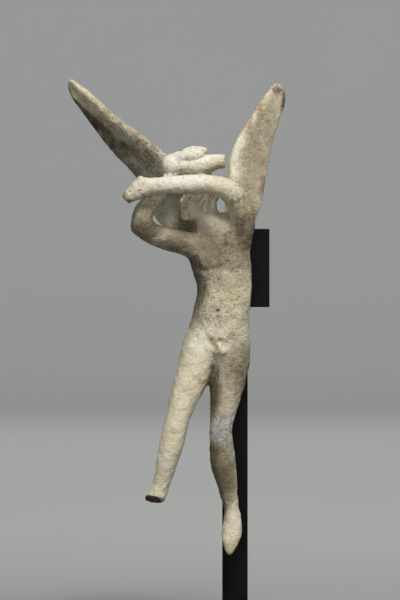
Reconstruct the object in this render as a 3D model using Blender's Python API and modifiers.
"""Winged youth in fired clay, flying with both arms folded over his head, on a black display stand.

Metres, +Z up, and the front faces -Y. The origin is on the table, under the middle of the stand's foot.
Left and right are the figure's own, so his left arm is at +X.

The figure's forms are laid out in units of its own height, UNITS_HIGH of them from toe tip to wing tip,
so they all follow FIGURE_HEIGHT. Each limb is a table of sections: x, y, z of the middle, then half of
its width across the limb as seen from the front, and half of its depth.
"""

import math

import bmesh
import bpy
import numpy as np
from mathutils import Matrix, Vector

# Driving dimensions, in metres
FIGURE_HEIGHT = 0.265
TOE_ABOVE_TABLE = 0.046
FIGURE_ASIDE = 0.0005
BAR_WIDTH = 0.0141
BAR_THICKNESS = 0.006
PLATE_WIDTH = 0.0261
PLATE_HEIGHT = 0.0435
PLATE_THICKNESS = 0.005
FOOT_WIDTH = 0.100
FOOT_DEPTH = 0.080
FOOT_THICKNESS = 0.008
METAL_EDGE = 0.0005
CLEARANCE = 0.0003

# Fineness of the clay while it is worked, and of the finished solid
COARSE_CLAY = 0.0012
FINE_CLAY = 0.00065
FIGURE_TRIANGLES = 8600

UNITS_HIGH = 265.0
UNIT = FIGURE_HEIGHT / UNITS_HIGH
BACK_OF_FIGURE = 11.6
PLATE_TOP = 180.8
DEPTH = Vector((0, 1, 0))

TORSO = [
    (-10.5, 0.6, 177.0, 8.0, 6.0),
    (-9.8, 0.4, 173.5, 13.5, 8.0),
    (-9.0, 0.2, 169.0, 16.6, 9.8),
    (-7.6, 0.0, 162.5, 16.9, 10.9),
    (-6.2, 0.0, 155.0, 15.7, 10.7),
    (-5.7, -0.3, 147.8, 15.0, 9.9),
    (-6.1, -0.5, 141.2, 15.2, 9.4),
    (-7.0, -0.5, 134.6, 15.8, 9.6),
    (-8.0, -0.3, 127.5, 16.7, 10.2),
    (-8.9, 0.3, 120.9, 18.1, 11.0),
    (-10.1, 0.8, 113.7, 19.0, 11.4),
    (-11.0, 1.0, 107.5, 16.5, 10.0),
    (-11.2, 1.0, 104.0, 10.0, 6.0),
]
NECK = [
    (-9.0, 1.5, 168.0, 10.0, 7.6),
    (-11.4, 1.0, 175.6, 8.8, 7.4),
    (-14.2, 0.2, 182.5, 7.4, 7.0),
    (-17.0, -0.6, 189.5, 6.9, 6.9),
    (-18.8, -1.0, 196.0, 6.2, 6.4),
]
RIGHT_LEG = [
    (-19.0, 0.0, 120.0, 8.0, 8.5),
    (-19.6, -0.8, 113.5, 9.8, 9.8),
    (-20.9, -1.8, 106.5, 10.2, 10.1),
    (-25.0, -4.4, 94.5, 8.9, 9.2),
    (-29.2, -7.0, 83.5, 7.3, 8.0),
    (-31.7, -8.7, 74.1, 6.6, 7.3),
    (-33.9, -9.2, 64.2, 6.8, 6.9),
    (-36.1, -8.8, 56.0, 6.2, 6.9),
    (-38.2, -8.2, 47.7, 5.6, 6.3),
    (-40.6, -7.9, 39.5, 4.9, 5.2),
    (-42.8, -8.3, 33.5, 5.2, 5.3),
    (-46.1, -9.4, 27.5, 6.1, 6.2),
    (-48.6, -10.4, 23.5, 6.4, 6.4),
]
LEFT_LEG = [
    (-2.4, 1.0, 120.0, 9.0, 8.5),
    (-2.3, 1.4, 113.5, 10.6, 10.2),
    (-2.5, 1.6, 106.5, 11.1, 10.6),
    (-4.1, 1.4, 95.6, 9.6, 9.6),
    (-5.3, 0.8, 86.2, 8.2, 8.6),
    (-6.8, 0.3, 76.3, 6.9, 7.5),
    (-7.6, 0.2, 68.6, 6.5, 7.2),
    (-7.0, 1.4, 60.4, 6.7, 6.9),
    (-6.2, 3.2, 50.5, 6.9, 7.2),
    (-4.3, 4.4, 41.1, 5.9, 6.3),
    (-2.9, 5.0, 32.9, 5.1, 5.2),
    (-1.5, 5.1, 25.7, 4.5, 4.9),
    (-1.2, 4.4, 20.2, 5.1, 5.7),
    (-1.5, 2.6, 13.6, 5.8, 4.9),
    (-2.1, 0.7, 8.7, 5.0, 3.9),
    (-2.7, -0.8, 4.2, 3.2, 2.9),
    (-2.7, -1.9, 0.4, 1.5, 1.6),
]
LEFT_ARM = [
    (-1.0, 0.5, 166.5, 7.0, 7.0),
    (1.6, 0.0, 171.5, 7.4, 7.3),
    (3.7, -1.0, 178.0, 7.2, 7.2),
    (4.3, -3.0, 185.2, 7.2, 7.0),
    (3.0, -6.0, 192.2, 6.9, 6.7),
    (-0.8, -10.0, 198.6, 6.4, 6.2),
    (-6.9, -13.5, 202.9, 5.9, 5.7),
    (-15.1, -16.0, 204.5, 5.4, 5.4),
    (-24.5, -17.0, 204.3, 5.3, 5.3),
    (-35.5, -17.4, 203.8, 5.1, 5.1),
    (-44.5, -17.0, 203.3, 4.9, 4.7),
    (-50.6, -16.6, 202.2, 6.0, 4.6),
    (-55.0, -16.2, 199.5, 4.8, 4.1),
    (-58.6, -15.8, 197.1, 4.0, 3.6),
    (-63.5, -15.4, 193.8, 3.6, 3.2),
]
RIGHT_ARM = [
    (-13.0, 0.6, 166.5, 7.6, 7.4),
    (-19.5, 0.0, 169.6, 7.4, 7.4),
    (-28.3, -1.8, 172.6, 6.9, 6.9),
    (-38.6, -4.0, 175.1, 6.5, 6.5),
    (-46.3, -6.2, 178.2, 6.0, 6.0),
    (-50.6, -7.8, 183.0, 6.0, 6.0),
    (-50.2, -8.2, 188.8, 5.7, 5.6),
    (-46.6, -7.6, 194.6, 5.1, 5.1),
    (-41.2, -6.6, 200.9, 4.8, 4.9),
    (-36.6, -5.0, 207.6, 4.8, 5.0),
    (-33.6, -3.8, 213.0, 5.0, 5.4),
]
HAND = [
    (-39.4, -3.0, 214.2, 3.0, 3.0),
    (-37.6, -3.0, 214.6, 5.2, 5.2),
    (-34.5, -3.0, 215.2, 6.3, 6.2),
    (-28.9, -3.0, 215.5, 6.7, 6.5),
    (-21.7, -3.1, 215.3, 6.3, 6.4),
    (-15.7, -3.4, 215.8, 5.3, 5.8),
    (-11.8, -3.8, 216.7, 4.5, 5.3),
    (-8.5, -4.0, 217.1, 3.9, 5.0),
    (-2.0, -4.4, 217.5, 3.5, 4.7),
]
THUMB = [
    (-30.5, -5.2, 219.5, 2.0, 2.4),
    (-27.0, -5.6, 221.8, 2.3, 2.5),
    (-23.5, -5.9, 223.0, 2.4, 2.5),
    (-19.5, -6.1, 223.4, 2.3, 2.4),
    (-16.4, -6.2, 223.0, 1.9, 2.1),
    (-15.2, -6.2, 222.5, 1.0, 1.2),
]
# A wing's rows hold the half chord, half thickness and the tilt that brings its leading edge forward
RIGHT_WING = [
    (-19.5, 6.0, 176.0, 8.5, 2.8, 18),
    (-24.5, 7.0, 183.2, 12.2, 3.1, 22),
    (-30.5, 9.0, 191.6, 15.7, 3.3, 28),
    (-35.0, 10.6, 198.6, 15.8, 3.3, 32),
    (-40.0, 12.2, 206.7, 14.4, 3.2, 35),
    (-45.7, 13.8, 214.3, 13.3, 3.2, 37),
    (-51.9, 15.2, 220.7, 12.4, 3.1, 38),
    (-61.2, 17.0, 228.8, 11.3, 3.0, 40),
    (-70.8, 19.0, 238.4, 9.4, 2.9, 41),
    (-80.3, 21.2, 249.2, 7.4, 2.7, 42),
    (-88.1, 23.0, 257.8, 5.3, 2.3, 42),
    (-92.1, 24.4, 264.1, 2.1, 1.5, 42),
]
LEFT_WING = [
    (0.0, 4.5, 175.0, 7.2, 2.6, 8),
    (1.7, 5.0, 183.2, 8.6, 3.0, 12),
    (3.8, 6.8, 189.6, 10.0, 3.1, 15),
    (5.6, 8.5, 197.3, 10.7, 3.1, 18),
    (7.0, 12.0, 208.0, 11.4, 3.1, 20),
    (7.7, 15.5, 215.3, 12.2, 3.0, 22),
    (10.6, 21.0, 225.8, 11.4, 2.9, 24),
    (15.0, 26.5, 236.3, 9.9, 2.8, 25),
    (19.6, 31.0, 246.0, 8.4, 2.6, 26),
    (23.3, 34.5, 253.9, 7.1, 2.4, 26),
    (24.5, 37.0, 258.6, 5.4, 2.1, 26),
    (24.6, 38.3, 261.6, 3.5, 1.7, 26),
    (24.4, 39.0, 263.4, 1.6, 1.3, 26),
]

# The head's own axes: x to his left, y to the back of the head, z to the crown, from its middle
HEAD_CENTRE = (-20.4, -1.4, 196.6)
HEAD_TURN = math.radians(-42)
HEAD_LEAN = math.radians(19)
HEAD_BOW = math.radians(6)


def smooth_rows(rows, steps):
    """The rows of a table, filled in along a Catmull-Rom curve with this many steps to each span."""
    table = np.array([rows[0], *rows, rows[-1]], float)
    found = []
    for i in range(1, len(table) - 2):
        before, start, end, after = table[i - 1 : i + 3]
        for t in np.arange(steps) / steps:
            found.append(
                0.5
                * (
                    2 * start
                    + (end - before) * t
                    + (2 * before - 5 * start + 4 * end - after) * t**2
                    + (3 * start - before - 3 * end + after) * t**3
                )
            )
    return [*found, table[-2]]


def skin(bm, rings):
    """A closed tube over rings of points, with a flat cap at each end."""
    loops = [[bm.verts.new(point) for point in ring] for ring in rings]
    count = len(loops[0])
    for low, high in zip(loops, loops[1:]):
        for i in range(count):
            j = (i + 1) % count
            bm.faces.new((low[i], low[j], high[j], high[i]))
    bm.faces.new(reversed(loops[0]))
    bm.faces.new(loops[-1])


def frames(rows):
    """Each row's middle, the direction along the limb, and the one across it as seen from the front."""
    middles = [Vector(row[:3]) for row in rows]
    found = []
    for i, middle in enumerate(middles):
        along = middles[min(i + 1, len(rows) - 1)] - middles[max(i - 1, 0)]
        along.normalize()
        found.append((middle, along, along.cross(DEPTH).normalized()))
    return found


def limb(bm, table, steps=4, sides=24):
    """A limb of oval sections."""
    rows = smooth_rows(table, steps)
    rings = []
    for row, (middle, along, across) in zip(rows, frames(rows)):
        back = across.cross(along)
        angles = (2 * math.pi * i / sides for i in range(sides))
        rings.append(
            [
                middle + across * row[3] * math.cos(a) + back * row[4] * math.sin(a)
                for a in angles
            ]
        )
    skin(bm, rings)


def wing(bm, table, lead, steps=4, sides=32):
    """A wing with a thick round leading edge, a thin trailing edge and a slightly hollow front."""
    rows = smooth_rows(table, steps)
    rings = []
    for row, (middle, along, across) in zip(rows, frames(rows)):
        tilt = math.radians(row[5])
        towards_lead = across * lead * math.cos(tilt) - DEPTH * math.sin(tilt)
        front = towards_lead.cross(along).normalized()
        if front.y > 0:
            front = -front
        ring = []
        for i in range(sides):
            a = 2 * math.pi * i / sides
            chord = math.cos(a)
            swell = (0.70 + 0.30 * chord) * math.sqrt(1 - chord**6)
            if math.sin(a) > 0:
                swell -= 0.30 * math.exp(-(((chord + 0.05) / 0.55) ** 2))
            else:
                swell = -swell
            ring.append(middle + towards_lead * row[3] * chord + front * row[4] * swell)
        rings.append(ring)
    skin(bm, rings)


def blob(bm, middle, radii, frame=None, turn=(0, 0, 0)):
    """An egg of clay, in the figure's axes or in those of a frame such as the head's."""
    place = Matrix.Translation(middle)
    for angle, axis in zip(turn, "XYZ"):
        place = place @ Matrix.Rotation(math.radians(angle), 4, axis)
    place = (frame or Matrix.Identity(4)) @ place @ Matrix.Diagonal((*radii, 1))
    bmesh.ops.create_uvsphere(bm, u_segments=20, v_segments=12, radius=1, matrix=place)


def head_frame():
    return (
        Matrix.Translation(HEAD_CENTRE)
        @ Matrix.Rotation(HEAD_LEAN, 4, "Y")
        @ Matrix.Rotation(HEAD_TURN, 4, "Z")
        @ Matrix.Rotation(HEAD_BOW, 4, "X")
    )


def head(bm):
    """Skull, jaw and ears, and a cap of short hair rolled round the face, with a knot on the crown."""
    frame = head_frame()
    eggs = [
        ((0, 1.4, 3.0), (8.4, 10.0, 9.4)),
        ((0, -3.4, 2.2), (6.8, 5.7, 6.8)),
        ((0, -3.4, -5.4), (5.9, 5.3, 7.0)),
        ((0, -7.1, -10.9), (2.3, 1.8, 1.8)),
        ((0, 2.4, 4.2), (9.2, 10.4, 9.8)),
        ((0, 7.0, -3.4), (6.8, 4.8, 5.6)),
        ((0, 1.6, 13.2), (3.8, 4.6, 3.0)),
    ]
    for middle, radii in eggs:
        blob(bm, middle, radii, frame)
    for side in (-1, 1):
        blob(bm, (side * 4.3, -6.0, -3.6), (2.3, 2.1, 2.2), frame)
        blob(bm, (side * 4.0, -1.4, -7.4), (2.6, 4.0, 3.6), frame)
        blob(bm, (side * 8.4, 0.8, -1.8), (1.2, 1.9, 2.9), frame, (-12, 0, 0))
        for i in range(6):
            a = math.radians(8 + 17 * i)
            lock = (side * 7.7 * math.sin(a), -6.4 + 0.42 * i**1.4, 2.4 + 7.2 * math.cos(a))
            blob(bm, lock, (1.8, 2.5, 2.0), frame)


def face(bm):
    """The features that stand out of the face: brow, eyes, nose and lips."""
    frame = head_frame()
    blob(bm, (0, -9.3, -2.4), (1.1, 1.3, 3.2), frame, (-16, 0, 0))
    blob(bm, (0, -10.2, -4.5), (1.5, 1.2, 1.0), frame)
    blob(bm, (0, -8.9, -7.3), (2.1, 0.9, 0.6), frame)
    blob(bm, (0, -8.7, -8.5), (1.7, 0.9, 0.7), frame)
    for side in (-1, 1):
        blob(bm, (side * 3.0, -8.4, 1.5), (2.7, 1.1, 0.9), frame)
        blob(bm, (side * 3.0, -7.7, -0.6), (1.7, 1.2, 0.9), frame)


def body_bumps(bm):
    """Rounded forms of the body that the limb tables don't hold."""
    eggs = [
        ((-15.8, 5.6, 111.0), (8.6, 8.4, 10.0)),
        ((-3.6, 6.0, 110.0), (8.6, 8.4, 10.0)),
        ((-14.5, -6.4, 163.5), (7.2, 4.6, 5.4)),
        ((-1.6, -6.4, 164.0), (6.8, 4.6, 5.4)),
        ((-16.0, 6.0, 166.0), (6.6, 4.6, 8.4)),
        ((-1.6, 6.0, 166.0), (6.6, 4.6, 8.4)),
        ((-10.5, -6.0, 121.5), (10.0, 5.4, 8.0)),
        ((-32.2, -12.2, 72.5), (4.2, 3.6, 4.8)),
        ((-7.6, -3.4, 69.5), (4.4, 3.6, 4.6)),
        ((-36.2, -5.2, 57.0), (5.2, 5.6, 9.0)),
        ((-6.0, 5.8, 52.5), (5.4, 5.2, 9.0)),
        ((-1.2, 8.2, 19.6), (3.6, 3.4, 3.8)),
        ((-50.8, -7.4, 182.0), (6.6, 6.0, 6.5)),
        ((-5.4, 4.6, 183.4), (5.0, 5.0, 8.6)),
    ]
    for middle, radii in eggs:
        blob(bm, middle, radii)


def small_forms(bm):
    """Genitals, the broken left hand's thumb and the toes."""
    blob(bm, (-8.4, -11.4, 114.8), (1.5, 2.4, 3.0), turn=(14, 0, 0))
    blob(bm, (-10.2, -10.4, 113.2), (1.9, 2.2, 2.2))
    blob(bm, (-6.6, -10.6, 113.2), (1.9, 2.2, 2.2))
    blob(bm, (-51.4, -16.4, 207.0), (2.1, 2.4, 2.3))


def clay(name, shapes, voxel, smoothing, keep=None):
    """One closed lump of clay from overlapping shapes, all of them in the figure's units."""
    bm = bmesh.new()
    if keep:
        bm.from_mesh(keep.data)
    for shape, *values in shapes:
        shape(bm, *values)
    bmesh.ops.recalc_face_normals(bm, faces=bm.faces)
    mesh = bpy.data.meshes.new(name)
    bm.to_mesh(mesh)
    bm.free()
    lump = bpy.data.objects.new(name, mesh)
    bpy.context.scene.collection.objects.link(lump)
    remesh = lump.modifiers.new("Remesh", "REMESH")
    remesh.mode = "VOXEL"
    remesh.voxel_size = voxel / UNIT
    smooth = lump.modifiers.new("Smooth", "SMOOTH")
    smooth.factor = 0.5
    smooth.iterations = smoothing
    return evaluated(lump, keep)


def evaluated(obj, *spent):
    """A plain mesh object of what obj's modifiers give. obj and the spent objects are removed."""
    graph = bpy.context.evaluated_depsgraph_get()
    mesh = bpy.data.meshes.new_from_object(obj.evaluated_get(graph))
    made = bpy.data.objects.new(obj.name, mesh)
    made.matrix_world = obj.matrix_world
    bpy.context.scene.collection.objects.link(made)
    for old in (obj, *spent):
        if old:
            bpy.data.objects.remove(old)
    return made


def co_of(mesh):
    co = np.empty(len(mesh.vertices) * 3)
    mesh.vertices.foreach_get("co", co)
    return co.reshape(-1, 3)


def normals_of(mesh):
    normals = np.empty(len(mesh.vertices) * 3)
    mesh.vertex_normals.foreach_get("vector", normals)
    return normals.reshape(-1, 3)


def press(mesh, line, width, depth):
    """Presses a groove, or a dent where the line is one point, into the clay along a line of points."""
    co = co_of(mesh)
    points = np.array(line, float)
    if len(points) == 1:
        gap = np.linalg.norm(co - points[0], axis=1)
    else:
        gap = np.full(len(co), np.inf)
        for start, end in zip(points, points[1:]):
            run = end - start
            t = np.clip((co - start) @ run / (run @ run), 0, 1)
            gap = np.minimum(gap, np.linalg.norm(co - start - t[:, None] * run, axis=1))
    share = np.exp(-((gap / width) ** 2))
    co -= normals_of(mesh) * (depth * share)[:, None]
    mesh.vertices.foreach_set("co", co.ravel())
    mesh.update()


def tool_marks(mesh):
    """Grooves and hollows that show from a step away."""
    grooves = [
        ([(-11.5, -11.2, 134.0)], 1.5, 1.2),
        ([(-19.5, -6.5, 127.5), (-14.5, -9.6, 120.5), (-11.6, -11.5, 115.5)], 1.6, 0.9),
        ([(3.4, -6.5, 126.5), (-2.4, -9.6, 120.0), (-5.2, -11.2, 115.5)], 1.6, 0.4),
        ([(-19.5, -7.5, 157.5), (-13.5, -10.5, 157.5), (-8.0, -11.0, 159.5)], 2.2, 0.4),
        ([(-8.0, -11.0, 159.5), (-2.0, -10.5, 157.5), (5.5, -7.5, 158.0)], 2.2, 0.4),
        ([(-8.2, -11.0, 168.0), (-8.0, -11.0, 160.0), (-8.6, -10.0, 146.0)], 2.2, 0.3),
        ([(-9.8, 13.5, 118.0), (-9.6, 13.5, 104.0)], 1.8, 2.4),
        ([(-9.0, 10.5, 168.0), (-8.2, 9.5, 146.0), (-9.0, 10.5, 124.0)], 2.6, 1.0),
    ]
    for line, width, depth in grooves:
        press(mesh, line, width, depth)
    frame = head_frame()
    for line, width, depth in (
        ([(-2.0, -9.8, -7.9), (2.0, -9.8, -7.9)], 0.7, 0.5),
        ([(0, -8.6, -9.8)], 1.3, 0.5),
    ):
        press(mesh, [frame @ Vector(point) for point in line], width, depth)


def break_off(obj, name, middle, turn, radius):
    """Cuts a limb off at a flat break through the middle, where the turned +Z axis points off the limb."""
    bm = bmesh.new()
    bmesh.ops.create_cube(bm, size=2 * radius, matrix=Matrix.Translation((0, 0, radius)))
    mesh = bpy.data.meshes.new(name)
    bm.to_mesh(mesh)
    bm.free()
    cutter = bpy.data.objects.new(name, mesh)
    cutter.matrix_world = Matrix.Translation(middle) @ turn
    cutter.hide_render = True
    cutter.display_type = "WIRE"
    CUTTERS.objects.link(cutter)
    cut = obj.modifiers.new(name, "BOOLEAN")
    cut.operation = "DIFFERENCE"
    cut.object = cutter


def facing(direction):
    """The rotation that takes +Z to a direction."""
    return Vector(direction).to_track_quat("Z", "Y").to_matrix().to_4x4()


def plain_material(name, colour, roughness, metallic=0.0):
    made = bpy.data.materials.new(name)
    made.use_nodes = True
    shader = made.node_tree.nodes["Principled BSDF"]
    shader.inputs["Base Color"].default_value = (*colour, 1)
    shader.inputs["Roughness"].default_value = roughness
    shader.inputs["Metallic"].default_value = metallic
    return made


def figurine():
    """The whole figure: body, limbs, head and wings are one piece of fired clay."""
    masses = clay(
        "masses",
        [
            (limb, TORSO),
            (limb, NECK),
            (limb, RIGHT_LEG),
            (limb, LEFT_LEG),
            (limb, LEFT_ARM),
            (limb, RIGHT_ARM),
            (body_bumps,),
        ],
        COARSE_CLAY,
        10,
    )
    whole = clay(
        "figurine",
        [
            (limb, HAND),
            (limb, THUMB),
            (wing, RIGHT_WING, -1),
            (wing, LEFT_WING, 1),
            (head,),
            (face,),
            (small_forms,),
        ],
        FINE_CLAY,
        4,
        masses,
    )
    tool_marks(whole.data)
    break_off(whole, "ankle_break", (-44.0, -8.5, 32.1), facing((-0.12, -0.40, -0.91)), 14)
    break_off(whole, "left_hand_break", (-59.2, -15.6, 196.8), facing((-0.86, -0.2, -0.36)), 9)
    break_off(whole, "right_hand_break", (-5.2, -4.0, 217.3), facing((1, -0.1, 0.06)), 9)
    whole = evaluated(whole)
    decimate = whole.modifiers.new("Decimate", "DECIMATE")
    decimate.ratio = FIGURE_TRIANGLES / sum(len(face.vertices) - 2 for face in whole.data.polygons)
    decimate.use_collapse_triangulate = True
    whole = evaluated(whole)
    place = Matrix.Translation((-FIGURE_ASIDE, 0, TOE_ABOVE_TABLE)) @ Matrix.Scale(UNIT, 4)
    whole.data.transform(place)
    return whole


def metal_block(name, low, high, material):
    """A painted steel bar or plate with its edges just taken off."""
    bm = bmesh.new()
    bmesh.ops.create_cube(bm, size=1)
    size = Vector(high) - Vector(low)
    bmesh.ops.scale(bm, vec=size, verts=bm.verts)
    mesh = bpy.data.meshes.new(name)
    bm.to_mesh(mesh)
    bm.free()
    made = bpy.data.objects.new(name, mesh)
    made.location = Vector(low) + size / 2
    mesh.materials.append(material)
    bevel = made.modifiers.new("Bevel", "BEVEL")
    bevel.width = METAL_EDGE
    bevel.segments = 2
    PARTS.objects.link(made)
    return made


def stand():
    """Foot, upright bar, and the plate behind the figure's back."""
    black = plain_material("black_paint", (0.012, 0.012, 0.013), 0.45)
    plate_top = TOE_ABOVE_TABLE + PLATE_TOP * UNIT
    plate_front = BACK_OF_FIGURE * UNIT + CLEARANCE
    bar_front = plate_front + PLATE_THICKNESS + CLEARANCE
    left = -BAR_WIDTH / 2
    metal_block(
        "stand_foot",
        (-FOOT_WIDTH / 2, -FOOT_DEPTH / 2, 0),
        (FOOT_WIDTH / 2, FOOT_DEPTH / 2, FOOT_THICKNESS),
        black,
    )
    metal_block(
        "stand_bar",
        (left, bar_front, FOOT_THICKNESS + CLEARANCE),
        (left + BAR_WIDTH, bar_front + BAR_THICKNESS, plate_top),
        black,
    )
    metal_block(
        "stand_plate",
        (left, plate_front, plate_top - PLATE_HEIGHT),
        (left + PLATE_WIDTH, plate_front + PLATE_THICKNESS, plate_top),
        black,
    )


for startup in list(bpy.data.objects):
    bpy.data.objects.remove(startup)
PARTS = bpy.data.collections.new("winged_youth_figurine")
CUTTERS = bpy.data.collections.new("cutters")
bpy.context.scene.collection.children.link(PARTS)
bpy.context.scene.collection.children.link(CUTTERS)

figure = figurine()
figure.name = "figurine"
figure.data.materials.append(plain_material("white_slip_on_clay", (0.62, 0.55, 0.43), 0.8))
bpy.context.scene.collection.objects.unlink(figure)
PARTS.objects.link(figure)
stand()
